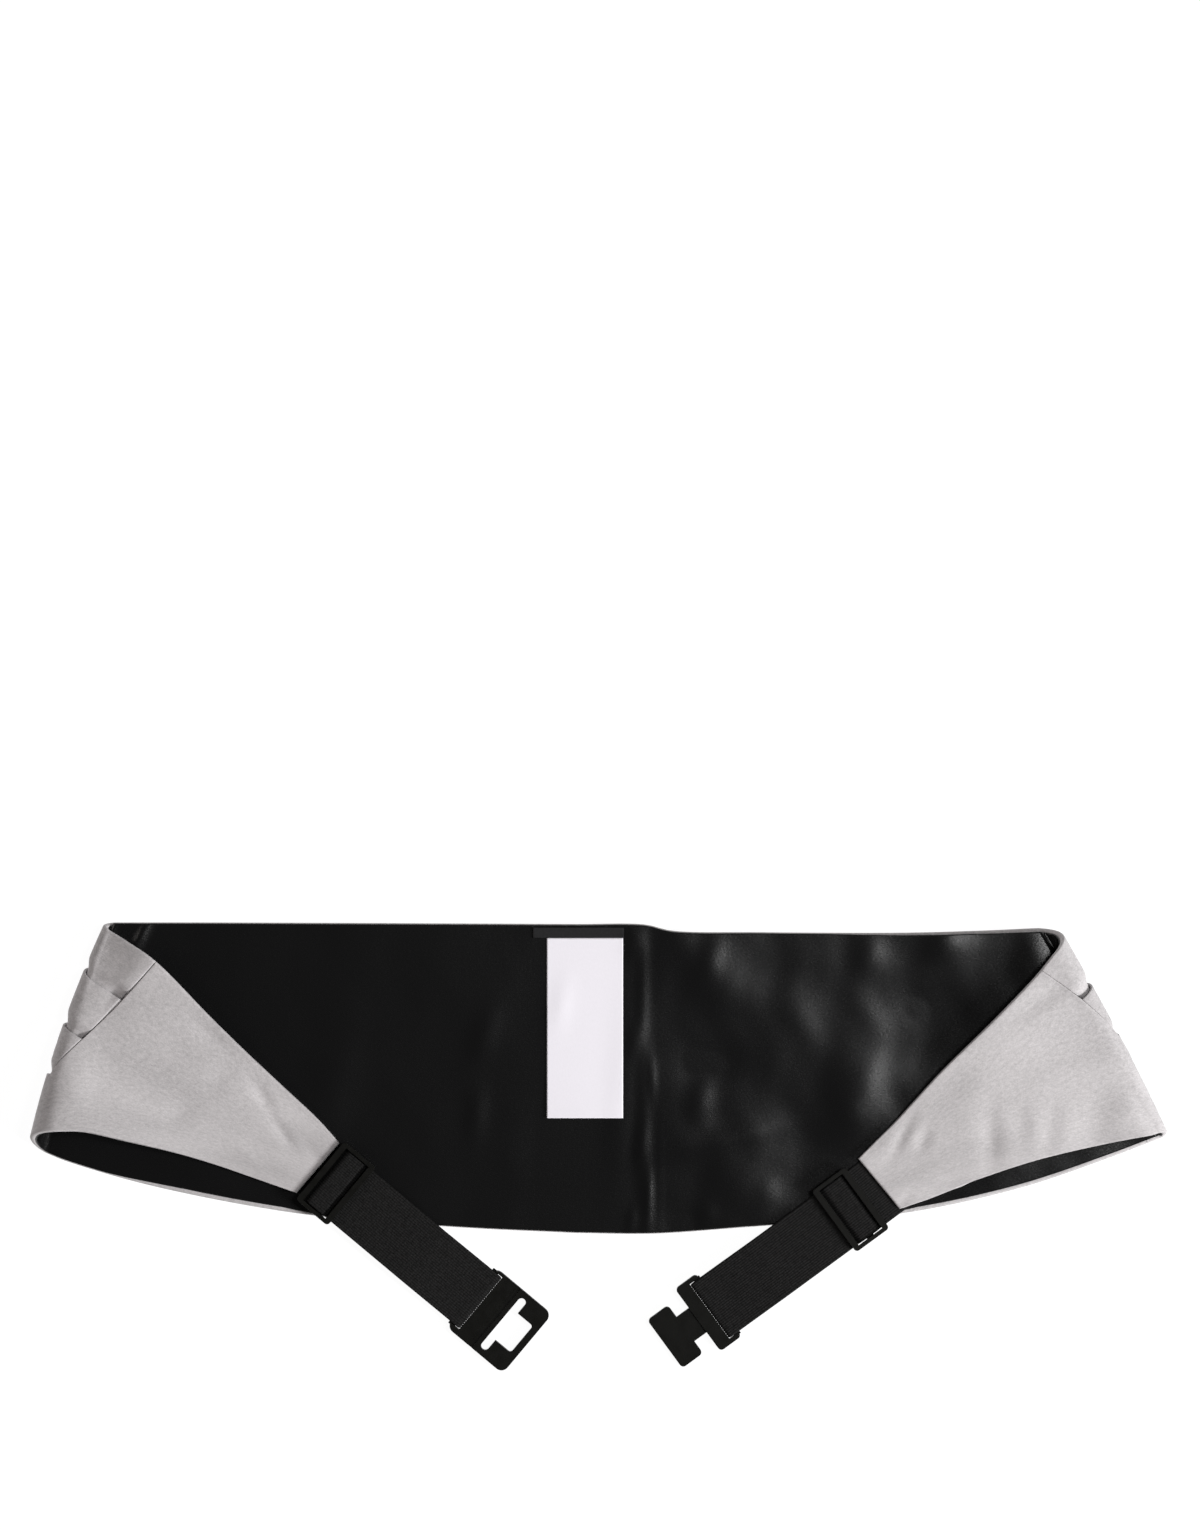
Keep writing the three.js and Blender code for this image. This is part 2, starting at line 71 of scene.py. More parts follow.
# The two ends, as in the part's source: lines are the top edge, the middle line and the bottom edge
ENDS = {
    "left": {
        "side": -1,
        "tilt": 18.75,
        "seam": (209, 212.2, 211),
        "strap_angle": 39.9,
        "strap_start": (98.1, -92.1),
        "slider_at": 8.85,
        "lines": (
            {
                "body": ((0, 0.4), (86, 0.8), (143, 1.0), (175.7, 1.0)),
                "loop": {"radius": 3.5, "drift": 3.2, "start_slope": 0.34, "end_slope": 0.25},
                "flap": ((170.3, -6.0, 3.4), (159.7, -13.2, 6.4), (134.5, -38.9, 4.2), (112.3, -60.1, 1.2),
                         (98.0, -73.6, 0.1), (90.0, -82.6, 0)),
            },
            {
                "body": ((0, -58.3), (105, -54.4), (162, -48.2), (189.5, -40.1)),
                "loop": {"radius": 6.0, "drift": 3.9, "start_slope": 0.22, "end_slope": 0.19},
                "flap": ((171.5, -54.4, 4.9), (150.0, -66.0, 3.1), (130.0, -76.4, 1.2), (110.3, -86.2, 0.1),
                         (98.15, -92.05, 0)),
            },
            {
                "body": ((0, -117.0), (48.3, -114.6), (105.3, -109.6), (162.3, -98.8), (193.8, -89.7),
                         (200.6, -87.0)),
                "loop": {"radius": 8.5, "drift": -10, "start_slope": -0.06, "end_slope": -0.36},
                "flap": ((186.0, -77.5, 10.0), (169.8, -81.3, 7.0), (150.8, -86.4, 3.0),
                         (136.5, -90.9, 0.9), (122.0, -96.0, 0.1), (106.3, -101.5, 0)),
            },
        ),
    },
    "right": {
        "side": 1,
        "tilt": 30,
        "seam": (207.8, 212, 221),
        "strap_angle": 36.2,
        "strap_start": (115.1, -99.3),
        "slider_at": 14.15,
        "lines": (
            {
                "body": ((0, 0.4), (26, 0.2), (36, -2.1), (69.5, -2.7), (122.7, -2.9), (153.1, -2.1),
                         (175.3, -1.1)),
                "loop": {"radius": 6.8, "drift": 10.5, "start_slope": 0.577, "end_slope": 0.26},
                "flap": ((173.5, -19.0, 7.1), (159.8, -33.5, 6.5), (137.2, -56.0, 3.6), (121.0, -74.0, 0.8),
                         (113.5, -81.5, 0), (106.6, -88.5, 0)),
            },
            {
                "body": ((0, -58.3), (65.7, -58.6), (122.7, -56.2), (168.0, -50.4), (201.0, -44.5)),
                "loop": {"radius": 5.5, "drift": 3.0, "start_slope": 0.34, "end_slope": 0},
                "flap": ((185.0, -57.4, 3.9), (160.0, -72.2, 2.9), (140.0, -83.5, 1.2), (125.5, -91.6, 0.1),
                         (114.45, -98.0, 0)),
            },
            {
                "body": ((0, -117.0), (29.6, -117.2), (65.7, -114.6), (122.7, -109.6), (168.3, -99.8),
                         (202.5, -88.2), (221.5, -80.9)),
                "loop": {"radius": 3.5, "drift": -2.3, "start_slope": 0.18, "end_slope": -0.31},
                "flap": ((216.0, -79.8, 2.7), (198.2, -83.4, 1.2), (175.5, -88.6, 2.2), (152.8, -96.0, 1.3),
                         (133.8, -103.6, 0.3), (122.3, -107.5, 0)),
            },
        ),
    },
}

# Creases and soft dents: x, y of the middle, direction in degrees, half length, half width, height
CREASES = (
    (26.0, -86.0, 90.8, 40.0, 2.6, 0.34),
    (25.0, -25.0, 89.0, 20.0, 2.2, 0.22),
    (18.0, -58.0, 86.0, 36.0, 6.0, 0.4),
    (31.4, -96.0, 90.0, 19.0, 0.6, 0.16),
    (24.0, -84.0, 86.0, 8.0, 2.2, 0.3),
    (28.6, -58.0, 93.0, 9.0, 1.5, 0.24),
    (27.4, -103.0, 88.0, 9.0, 1.4, 0.3),
    (21.0, -112.0, 80.0, 5.0, 2.0, 0.25),
    (22.0, -44.0, 84.0, 7.0, 2.4, 0.25),
)
FLAP_DENTS = {
    "left": (
        (-119.3, -64.5, -58, 6.5, 2.5, -0.85),
        (-111.6, -78.6, -54, 7.5, 2.2, -0.75),
        (-100.8, -85.5, -40, 5.0, 2.0, -0.3),
        (-150.4, -70.7, 20, 6.0, 4.5, -0.6),
        (-138.8, -41.1, -42, 9.0, 3.0, -0.6),
        (-135.4, -57.1, 60, 8.0, 4.0, -0.35),
        (-124.0, -88.0, -48, 9.0, 2.2, 0.2),
        (-170.2, -19.4, 30, 5.0, 2.2, 0.35),
        (-175.6, -25.5, 60, 4.0, 2.0, -0.65),
        (-196.0, -62.0, 75, 9.0, 3.0, -0.4),
        (-190.5, -60.4, 71, 19.0, 7.0, 1.0),
        (-166.0, -16.0, 48, 12.0, 7.0, 0.7),
        (-186.0, -32.0, 62, 9.0, 5.0, 0.6),
    ),
    "right": (
        (175.7, -27.9, 33, 12.0, 3.5, -0.7),
        (123.3, -79.7, 63, 8.0, 2.4, -0.8),
        (131.3, -81.1, 70, 4.5, 2.6, -0.65),
        (156.8, -81.0, 90, 11.0, 4.0, -1.05),
        (169.0, -76.8, 90, 6.0, 4.0, -0.7),
        (179.1, -77.5, 85, 9.0, 4.2, -0.8),
        (196.0, -73.0, 75, 11.0, 6.5, -0.6),
        (209.0, -70.0, 68, 12.0, 6.0, 0.3),
        (166.0, -72.0, 60, 6.0, 4.0, -0.35),
        (142.1, -96.5, -10, 8.0, 2.0, -0.65),
        (124.3, -104.0, 60, 4.0, 1.6, -0.25),
        (150.0, -66.0, 70, 14.0, 6.0, 0.35),
    ),
}
LINING_DENTS = (
    (51.0, -13.0, 80, 9.0, 5.0, 0.55),
    (111.0, -12.5, 78, 9.0, 7.5, 0.85),
    (140.0, -6.5, 62, 8.0, 6.0, 0.65),
    (106.0, -70.0, 75, 15.0, 10.5, 1.1),
    (56.0, -81.0, 13, 25.0, 4.5, 0.45),
    (47.0, -68.0, 80, 9.0, 5.0, 0.45),
    (49.5, -110.0, 90, 5.0, 3.5, 0.35),
    (72.0, -102.0, 80, 7.0, 5.0, 0.4),
    (22.0, -6.0, 90, 7.0, 4.0, 0.4),
    (86.0, -40.0, 100, 18.0, 9.0, 0.3),
    (-6.0, -30.0, 80, 10.0, 4.0, 0.3),
    (-35.0, -42.0, 70, 12.0, 5.0, 0.3),
    (-38.0, -72.0, 85, 10.0, 4.0, 0.3),
    (-92.0, -60.0, 80, 22.0, 9.0, 0.4),
    (-166.0, -5.0, 62, 9.0, 1.8, 0.8),
    (-177.0, -2.5, 75, 4.0, 1.5, 0.5),
    (186.0, -32.0, 62, 40.0, 27.0, 3.6),
    (163.0, -93.0, 72, 16.0, 12.0, 1.3),
)

# Waves in the lining: length, direction in degrees, phase, height
RIPPLES = (
    (64.0, 75, 3.3, 0.30),
    (43.0, 12, 0.9, 0.20),
    (29.0, -38, 2.1, 0.09),
    (21.0, 58, 4.0, 0.05),
    (13.0, 8, 1.2, 0.022),
)

# Where the grey rim shows beside the lining: run along the body and width of the rim
TOP_RIM = ((-180, 0.33), (95, 0.33), (120, 0.9), (150, 1.2), (182, 1.7))
BOTTOM_RIM = (
    (-180, 0.5), (-163, 1.5), (-150, 1.9), (-112, 1.7), (-96, 0.33), (112, 0.33), (130, 1.7), (220, 1.9),
)
FOLDED_RIM = 0.35


def make_camera():
    """The camera looks straight down from 2.5 m, at the place that the photograph's middle shows."""
    data = bpy.data.cameras.new("camera")
    data.sensor_fit = "VERTICAL"
    data.sensor_width = data.sensor_height = 36.0
    data.lens = 36.0 * 2.5 / 0.5814
    data.clip_end = 20.0
    camera = bpy.data.objects.new("camera", data)
    camera.location = (0.00029, 0.1448, 2.5)
    bpy.context.scene.collection.objects.link(camera)
    bpy.context.scene.camera = camera


make_camera()

label_low, label_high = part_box("woven_label")
SHIFT = np.array([
    (label_low.x + label_high.x) / 2 * 1000 - LABEL_MIDDLE[0],
    (label_low.y + label_high.y) / 2 * 1000 - LABEL_MIDDLE[1],
    0.0,
])


def smooth_line(points, count):
    """A centripetal Catmull-Rom line through the points, as count points at even steps of its length.

    Each stretch is the cubic that leaves and meets its two points along the tangents set by their
    neighbours, with the square roots of the distances as its spans.
    """
    points = np.asarray(points, float)
    ends = np.vstack([2 * points[0] - points[1], points, 2 * points[-1] - points[-2]])
    span = np.sqrt(np.linalg.norm(np.diff(ends, axis=0), axis=1))[:, None]
    before, span, after = span[:-2], span[1:-1], span[2:]
    p0, p1, p2, p3 = ends[:-3], ends[1:-2], ends[2:-1], ends[3:]
    leave = ((p1 - p0) / before - (p2 - p0) / (before + span) + (p2 - p1) / span) * span
    meet = ((p2 - p1) / span - (p3 - p1) / (span + after) + (p3 - p2) / after) * span
    t = np.linspace(0, 1, 200, endpoint=False)[None, :, None]
    p1, p2, leave, meet = (a[:, None, :] for a in (p1, p2, leave, meet))
    square = 3 * (p2 - p1) - 2 * leave - meet
    cube = 2 * (p1 - p2) + leave + meet
    line = p1 + leave * t + square * t ** 2 + cube * t ** 3
    line = np.vstack([line.reshape(-1, points.shape[1]), points[-1]])
    return along(line, np.linspace(0, 1, count))


def along(line, shares):
    """Points at shares of a line's length."""
    length = np.concatenate([[0], np.cumsum(np.linalg.norm(np.diff(line, axis=0), axis=1))])
    return np.stack([np.interp(shares * length[-1], length, column) for column in line.T], axis=-1)


TABLE_STATIONS = np.linspace(0, 3, 1501)


def line_table(line, tilt):
    """One line of the band at every station of the table, and the runs of cloth up to its stops.

    Stations 0 to 1 follow the body on the table, 1 to 2 the half turn: a circle of the line's radius that
    also slides along the fold by a smooth step, and 2 to 3 the flap on top.
    """
    outward = np.array([math.cos(tilt), math.sin(tilt), 0])
    down_fold = np.array([math.sin(tilt), -math.cos(tilt), 0])
    loop = line["loop"]
    radius = loop["radius"]
    body = smooth_line([(x, y, 0) for x, y in line["body"]], 2001)
    t = np.linspace(0, 1, 501)[:, None]
    slide = (loop["drift"] * t * t * (3 - 2 * t)
             + radius * loop["start_slope"] * math.pi * t * (1 - t) ** 2
             - radius * loop["end_slope"] * math.pi * t * t * (1 - t))
    turn = t * math.pi
    rise = np.array([0, 0, 1]) * radius * (1 - np.cos(turn))
    turned = body[-1] + outward * radius * np.sin(turn) + down_fold * slide + rise
    flap = smooth_line([turned[-1]] + [(x, y, REST_HEIGHT + lift) for x, y, lift in line["flap"]], 2001)
    runs = [np.linalg.norm(np.diff(part, axis=0), axis=1).sum() for part in (body, turned, flap)]
    stops = np.array([0, MIDDLE_RUN, runs[0], runs[0] + runs[1], sum(runs)])

    s = TABLE_STATIONS
    middle = MIDDLE_RUN / runs[0]
    body_share = np.where(s < MIDDLE_STATION, s / MIDDLE_STATION * middle,
                          middle + (s - MIDDLE_STATION) / (1 - MIDDLE_STATION) * (1 - middle))
    on_body, on_loop = s <= 1, (s > 1) & (s <= 2)
    points = np.empty((len(s), 3))
    points[on_body] = along(body, np.clip(body_share[on_body], 0, 1))
    points[on_loop] = np.stack([np.interp(s[on_loop] - 1, t[:, 0], column) for column in turned.T], axis=-1)
    points[s > 2] = along(flap, s[s > 2] - 2)
    return points, stops


TABLES = {name: [line_table(line, math.radians(end["tilt"])) for line in end["lines"]]
          for name, end in ENDS.items()}


def across_weights(v):
    """Weights of the top, middle and bottom lines at a share v of the width: a parabola through them."""
    return (1 - v) * (1 - 2 * v), 4 * v * (1 - v), v * (2 * v - 1)


def blended(values, v):
    """A number worked out across the width from its values at the top, the middle and the bottom."""
    return sum(weight * value for weight, value in zip(across_weights(v), values))


def station_at(name, run, v):
    """The station that lies a given run out from the middle, measured along the cloth."""
    stops = [blended([table[1][index] for table in TABLES[name]], v) for index in range(5)]
    marks = (0, MIDDLE_STATION, 1, 2, 3)
    station = np.zeros(np.broadcast(run, v).shape)
    for low, high, a, b in zip(stops[:-1], stops[1:], marks[:-1], marks[1:]):
        station = np.where(run >= low, a + (b - a) * np.minimum((run - low) / (high - low), 1), station)
    return station


def run_at(name, station, v):
    """How far out from the middle a station lies, measured along the cloth."""
    marks = (0, MIDDLE_STATION, 1, 2, 3)
    stops = [blended([table[1][index] for table in TABLES[name]], v) for index in range(5)]
    run = np.zeros(np.broadcast(station, v).shape)
    for low, high, a, b in zip(stops[:-1], stops[1:], marks[:-1], marks[1:]):
        run = np.where(station >= a, low + (high - low) * np.minimum((station - a) / (b - a), 1), run)
    return run


def dents(x, y, rows):
    """Soft ridges and hollows added up: each is its height times a bell along and across its direction."""
    total = np.zeros(np.broadcast(x, y).shape)
    for middle_x, middle_y, degrees, length, width, height in rows:
        c, s = math.cos(math.radians(degrees)), math.sin(math.radians(degrees))
        lengthwise = ((x - middle_x) * c + (y - middle_y) * s) / length
        crosswise = (-(x - middle_x) * s + (y - middle_y) * c) / width
        total += height * np.exp(-lengthwise ** 2 - crosswise ** 2)
    return total


def ripples(x, y):
    """Waves that bend: each is its height times the sine of the way along it, which sways across it."""
    total = np.zeros(np.broadcast(x, y).shape)
    for length, degrees, phase, height in RIPPLES:
        c, s = math.cos(math.radians(degrees)), math.sin(math.radians(degrees))
        way = 2 * math.pi * (x * c + y * s) / length
        sway = 1.4 * np.sin(2 * math.pi * (y * c - x * s) / (2.7 * length) + 2 * phase)
        total += height * np.sin(way + phase + sway)
    return total


def smooth_share(value, low, high):
    """0 below low, 1 above high and a smooth step between."""
    t = np.clip((value - low) / (high - low), 0, 1)
    return t * t * (3 - 2 * t)


def half_point(name, station, v):
    """The face side of one half at a station and a share of the width, x outwards from the middle."""
    weights = across_weights(v)
    point = np.zeros(np.broadcast(station, v).shape + (3,))
    for weight, (table, _) in zip(weights, TABLES[name]):
        for axis in range(3):
            point[..., axis] += weight * np.interp(station, TABLE_STATIONS, table[:, axis])
    side = ENDS[name]["side"]
    on_flap = smooth_share(station, 1.55, 2.1)
    point[..., 2] += on_flap * dents(point[..., 0] * side, point[..., 1], FLAP_DENTS[name])
    return point


def half_surface(name, station, v, depth):
    """A place in one half: the face point moved by its depth along the sheet's normal, to the lining."""
    step = 0.01
    lengthwise = half_point(name, np.minimum(station + step, 3), v)
    lengthwise -= half_point(name, np.maximum(station - step, 0), v)
    across = half_point(name, station, np.minimum(v + step, 1))
    across -= half_point(name, station, np.maximum(v - step, 0))
    normal = np.cross(across, lengthwise)
    normal /= np.linalg.norm(normal, axis=-1, keepdims=True)
    point = half_point(name, station, v) + normal * depth[..., None]
    point[..., 0] *= ENDS[name]["side"]
    return point


def band_surface(station, v, depth):
    """A place in the band. Stations left of the middle are negative."""
    station, v, depth = np.broadcast_arrays(np.asarray(station, float), v, depth)
    left = half_surface("left", np.maximum(-station, 0), v, depth)
    right = half_surface("right", np.maximum(station, 0), v, depth)
    return np.where((station < 0)[..., None], left, right)


def band_run(station, v):
    """The run along the cloth from the middle, negative to the left."""
    station, v = np.broadcast_arrays(station, v)
    left = -run_at("left", np.maximum(-station, 0), v)
    right = run_at("right", np.maximum(station, 0), v)
    return np.where(station < 0, left, right)


def to_row(points):
    """From the band's millimetres to the row frame's metres."""
    return (points + SHIFT) * 0.001


def shell_mesh(name, outer, inner, uv):
    """A closed shell between two grids of points of the same size, with walls round its four borders.

    Outer faces look along the first grid's normal, that is rows crossed with columns.
    """
    rows, columns = outer.shape[:2]
    index = np.arange(rows * columns).reshape(rows, columns)
    quads = np.stack([index[:-1, :-1], index[1:, :-1], index[1:, 1:], index[:-1, 1:]], axis=-1)
    quads = quads.reshape(-1, 4)
    border = np.concatenate([index[:-1, 0], index[-1, :-1], index[:0:-1, -1], index[0, :0:-1]])
    after = np.roll(border, -1)
    offset = rows * columns
    walls = np.stack([border, border + offset, after + offset, after], axis=-1)
    faces = np.concatenate([quads, quads[:, ::-1] + offset, walls])
    points = np.concatenate([outer.reshape(-1, 3), inner.reshape(-1, 3)])
    mesh = bpy.data.meshes.new(name)
    mesh.vertices.add(len(points))
    mesh.vertices.foreach_set("co", to_row(points).astype(np.float32).ravel())
    mesh.loops.add(faces.size)
    mesh.loops.foreach_set("vertex_index", faces.astype(np.int32).ravel())
    mesh.polygons.add(len(faces))
    mesh.polygons.foreach_set("loop_start", np.arange(0, faces.size, 4, dtype=np.int32))
    mesh.update(calc_edges=True)
    flat = np.tile(uv.reshape(-1, 2), (2, 1)) * 0.001
    layer = mesh.uv_layers.new(name="cloth")
    layer.data.foreach_set("uv", flat[faces.ravel()].astype(np.float32).ravel())
    mesh.polygons.foreach_set("use_smooth", np.ones(len(faces), dtype=bool))
    mesh.validate()
    return mesh


def add_piece(name, mesh, material, node):
    """A piece on the root body that stands for a node."""
    piece = bpy.data.objects.new(name, mesh)
    bpy.context.scene.collection.objects.link(piece)
    mesh.materials.clear()
    mesh.materials.append(material)
    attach(piece, "root")
    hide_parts(node)
    return piece


# Materials: shared effects first

def group_sockets(group, inputs, outputs):
    """Names and kinds of a node group's inputs and outputs."""
    for name, kind, value in inputs:
        socket = group.interface.new_socket(name=name, in_out="INPUT", socket_type=kind)
        if value is not None:
            socket.default_value = value
    for name, kind in outputs:
        group.interface.new_socket(name=name, in_out="OUTPUT", socket_type=kind)


def node(tree, kind, **settings):
    """A shader node with its settings and its input values."""
    made = tree.nodes.new(kind)
    for key, value in settings.items():
        if key == "inputs":
            for socket, number in value.items():
                made.inputs[socket].default_value = number
        else:
            setattr(made, key, value)
    return made


def cloth_grain_group():
    """Grain of a woven cloth: two sizes of noise, the finer one stretched along the threads."""
    group = bpy.data.node_groups.new("cloth_grain", "ShaderNodeTree")
    group_sockets(
        group,
        [("Vector", "NodeSocketVector", None), ("Fine", "NodeSocketFloat", 2500.0),
         ("Coarse", "NodeSocketFloat", 600.0), ("Stretch", "NodeSocketFloat", 3.0)],
        [("Shade", "NodeSocketFloat"), ("Height", "NodeSocketFloat")],
    )
    start = node(group, "NodeGroupInput")
    end = node(group, "NodeGroupOutput")
    squeeze = node(group, "ShaderNodeCombineXYZ", inputs={"Y": 1.0, "Z": 1.0})
    one_over = node(group, "ShaderNodeMath", operation="DIVIDE", inputs={0: 1.0})
    stretched = node(group, "ShaderNodeVectorMath", operation="MULTIPLY")
    fine = node(group, "ShaderNodeTexNoise", inputs={"Detail": 2.0, "Roughness": 0.6})
    coarse = node(group, "ShaderNodeTexNoise", inputs={"Detail": 3.0, "Roughness": 0.6})
    mixed = node(group, "ShaderNodeMix", inputs={"Factor": 0.45})
    link = group.links.new
    link(start.outputs["Stretch"], one_over.inputs[1])
    link(one_over.outputs[0], squeeze.inputs["X"])
    link(start.outputs["Vector"], stretched.inputs[0])
    link(squeeze.outputs[0], stretched.inputs[1])
    link(stretched.outputs[0], fine.inputs["Vector"])
    link(start.outputs["Fine"], fine.inputs["Scale"])
    link(start.outputs["Vector"], coarse.inputs["Vector"])
    link(start.outputs["Coarse"], coarse.inputs["Scale"])
    link(fine.outputs["Fac"], mixed.inputs["A"])
    link(coarse.outputs["Fac"], mixed.inputs["B"])
    link(mixed.outputs["Result"], end.inputs["Shade"])
    link(fine.outputs["Fac"], end.inputs["Height"])
    return group


GRAIN = cloth_grain_group()


def new_material(name, display):
    """A material with its Principled shader and its colour in the plain view."""
    material = bpy.data.materials.new(name)
    material.use_nodes = True
    material.diffuse_color = (*display, 1)
    return material, material.node_tree, material.node_tree.nodes["Principled BSDF"]


def cloth_material(name, dark, light, roughness, spread, grain, bump, specular=0.5, cloud=0.0):
    """Cloth: two near colours mixed by its grain, roughness that follows it, and fine bump from the threads.

    dark and light are the two colours, a wider spread softens the grain, which is given as its fine scale,
    coarse scale and stretch, and cloud adds soft patches.
    """
    material, tree, shader = new_material(name, light)
    uv = node(tree, "ShaderNodeUVMap", uv_map="cloth")
    cloth = node(tree, "ShaderNodeGroup", node_tree=GRAIN)
    for socket, value in zip(("Fine", "Coarse", "Stretch"), grain):
        cloth.inputs[socket].default_value = value
    patches = node(tree, "ShaderNodeTexNoise", inputs={"Scale": 22.0, "Detail": 2.0, "Roughness": 0.5})
    with_patches = node(tree, "ShaderNodeMath", operation="MULTIPLY_ADD", inputs={1: cloud})
    ramp = node(tree, "ShaderNodeMapRange", inputs={"From Min": 0.5 - spread, "From Max": 0.5 + spread})
    colours = node(tree, "ShaderNodeMix", data_type="RGBA")
    colours.inputs["A"].default_value = (*dark, 1)
    colours.inputs["B"].default_value = (*light, 1)
    rough = node(tree, "ShaderNodeMapRange", inputs={
        "From Min": 0.3, "From Max": 0.7, "To Min": roughness + 0.04, "To Max": roughness - 0.04})
    bumped = node(tree, "ShaderNodeBump", inputs={"Strength": bump, "Distance": 0.0002})
    centred = node(tree, "ShaderNodeMath", operation="SUBTRACT", inputs={1: 0.5})
    link = tree.links.new
    link(uv.outputs[0], cloth.inputs["Vector"])
    link(uv.outputs[0], patches.inputs["Vector"])
    link(patches.outputs["Fac"], centred.inputs[0])
    link(centred.outputs[0], with_patches.inputs[0])
    link(cloth.outputs["Shade"], with_patches.inputs[2])
    link(with_patches.outputs[0], ramp.inputs["Value"])
    link(ramp.outputs[0], colours.inputs["Factor"])
    link(colours.outputs["Result"], shader.inputs["Base Color"])
    link(cloth.outputs["Shade"], rough.inputs["Value"])
    link(rough.outputs[0], shader.inputs["Roughness"])
    link(cloth.outputs["Height"], bumped.inputs["Height"])
    link(bumped.outputs[0], shader.inputs["Normal"])
    shader.inputs["Specular IOR Level"].default_value = specular
    return material


def moulded_material(name, dark, light, roughness):
    """Moulded plastic: near black with a faint cloudiness, and a gloss that is a little uneven."""
    material, tree, shader = new_material(name, light)
    place = node(tree, "ShaderNodeTexCoord")
    cloudy = node(tree, "ShaderNodeTexNoise", inputs={"Scale": 260.0, "Detail": 4.0, "Roughness": 0.55})
    pitted = node(tree, "ShaderNodeTexNoise", inputs={"Scale": 2600.0, "Detail": 2.0, "Roughness": 0.5})
    colours = node(tree, "ShaderNodeMix", data_type="RGBA")
    colours.inputs["A"].default_value = (*dark, 1)
    colours.inputs["B"].default_value = (*light, 1)
    rough = node(tree, "ShaderNodeMapRange", inputs={
        "From Min": 0.3, "From Max": 0.7, "To Min": roughness - 0.05, "To Max": roughness + 0.08})
    bumped = node(tree, "ShaderNodeBump", inputs={"Strength": 0.12, "Distance": 0.0001})
    link = tree.links.new
    link(place.outputs["Object"], cloudy.inputs["Vector"])
    link(place.outputs["Object"], pitted.inputs["Vector"])
    link(cloudy.outputs["Fac"], colours.inputs["Factor"])
    link(colours.outputs["Result"], shader.inputs["Base Color"])
    link(cloudy.outputs["Fac"], rough.inputs["Value"])
    link(rough.outputs[0], shader.inputs["Roughness"])
    link(pitted.outputs["Fac"], bumped.inputs["Height"])
    link(bumped.outputs[0], shader.inputs["Normal"])
    shader.inputs["Specular IOR Level"].default_value = 0.25
    return material


def webbing_material():
    """Elastic webbing: rows of stitches along the ribs, each lighter in its middle with painted shade in the
    gaps between them, over an uneven black.
    """
    material, tree, shader = new_material("black_webbing", (0.02, 0.02, 0.02))
    uv = node(tree, "ShaderNodeUVMap", uv_map="cloth")
    pitch = node(tree, "ShaderNodeVectorMath", operation="MULTIPLY", inputs={1: (820.0, 1095.0, 1.0)})
    stitches = node(tree, "ShaderNodeTexVoronoi", inputs={"Scale": 1.0, "Randomness": 0.4})
    fluff = node(tree, "ShaderNodeTexNoise", inputs={"Scale": 2600.0, "Detail": 2.0, "Roughness": 0.6})
    patches = node(tree, "ShaderNodeTexNoise", inputs={"Scale": 420.0, "Detail": 2.0, "Roughness": 0.6})
    # Stitch cells turn darker towards their edges: painted shade in the gaps between the stitches, over the
    # real fluff of the fibres
    mixed = node(tree, "ShaderNodeMath", operation="MULTIPLY_ADD", inputs={1: -0.75})
    uneven = node(tree, "ShaderNodeMath", operation="MULTIPLY_ADD", inputs={1: 0.12})
    ramp = node(tree, "ShaderNodeMapRange", inputs={"From Min": -0.1, "From Max": 0.62})
    colours = node(tree, "ShaderNodeMix", data_type="RGBA")
    colours.inputs["A"].default_value = (0.0046, 0.0045, 0.0045, 1)
    colours.inputs["B"].default_value = (0.0190, 0.0187, 0.0187, 1)
    bumped = node(tree, "ShaderNodeBump", inputs={"Strength": 0.6, "Distance": 0.0002})
    link = tree.links.new
    link(uv.outputs[0], pitch.inputs[0])
    link(pitch.outputs[0], stitches.inputs["Vector"])
    link(uv.outputs[0], fluff.inputs["Vector"])
    link(uv.outputs[0], patches.inputs["Vector"])
    link(stitches.outputs["Distance"], mixed.inputs[0])
    link(fluff.outputs["Fac"], mixed.inputs[2])
    link(patches.outputs["Fac"], uneven.inputs[0])
    link(mixed.outputs[0], uneven.inputs[2])
    link(uneven.outputs[0], ramp.inputs["Value"])
    link(ramp.outputs[0], colours.inputs["Factor"])
    link(colours.outputs["Result"], shader.inputs["Base Color"])
    link(uneven.outputs[0], bumped.inputs["Height"])
    link(bumped.outputs[0], shader.inputs["Normal"])
    shader.inputs["Roughness"].default_value = 0.8
    shader.inputs["Specular IOR Level"].default_value = 0.12
    return material


grey_satin = cloth_material("grey_satin", (0.29, 0.278, 0.281), (0.59, 0.567, 0.573), 0.55, 0.26,
                            (1700.0, 450.0, 1.3), 0.3, specular=0.25, cloud=0.4)
black_satin = cloth_material("black_lining", (0.0024, 0.0024, 0.0025), (0.0052, 0.0052, 0.0054), 0.26, 0.3,
                             (2400.0, 700.0, 2.5), 0.18, cloud=0.3)
elastic = webbing_material()
woven_black = cloth_material("black_label", (0.006, 0.006, 0.0065), (0.016, 0.016, 0.017), 0.6, 0.3,
                             (2600.0, 1200.0, 3.0), 0.25, specular=0.35)
white_satin = cloth_material("white_label", (0.74, 0.72, 0.765), (0.81, 0.787, 0.84), 0.5, 0.4,
                             (2600.0, 900.0, 3.0), 0.08, specular=0.25, cloud=0.2)
black_plastic = moulded_material("black_plastic", (0.0022, 0.0022, 0.0016), (0.0032, 0.0032, 0.0025), 0.42)


# The satin face, as lines across the width: distance from the top edge and depth of the cloth's middle

def arc(middle_y, middle_depth, radius, start, end, count=7):
    """Points on an arc. Angle 0 points along the width and 90 towards the lining."""
    angle = np.radians(np.linspace(start, end, count))
    return np.stack([middle_y + radius * np.cos(angle), middle_depth + radius * np.sin(angle)], axis=-1)


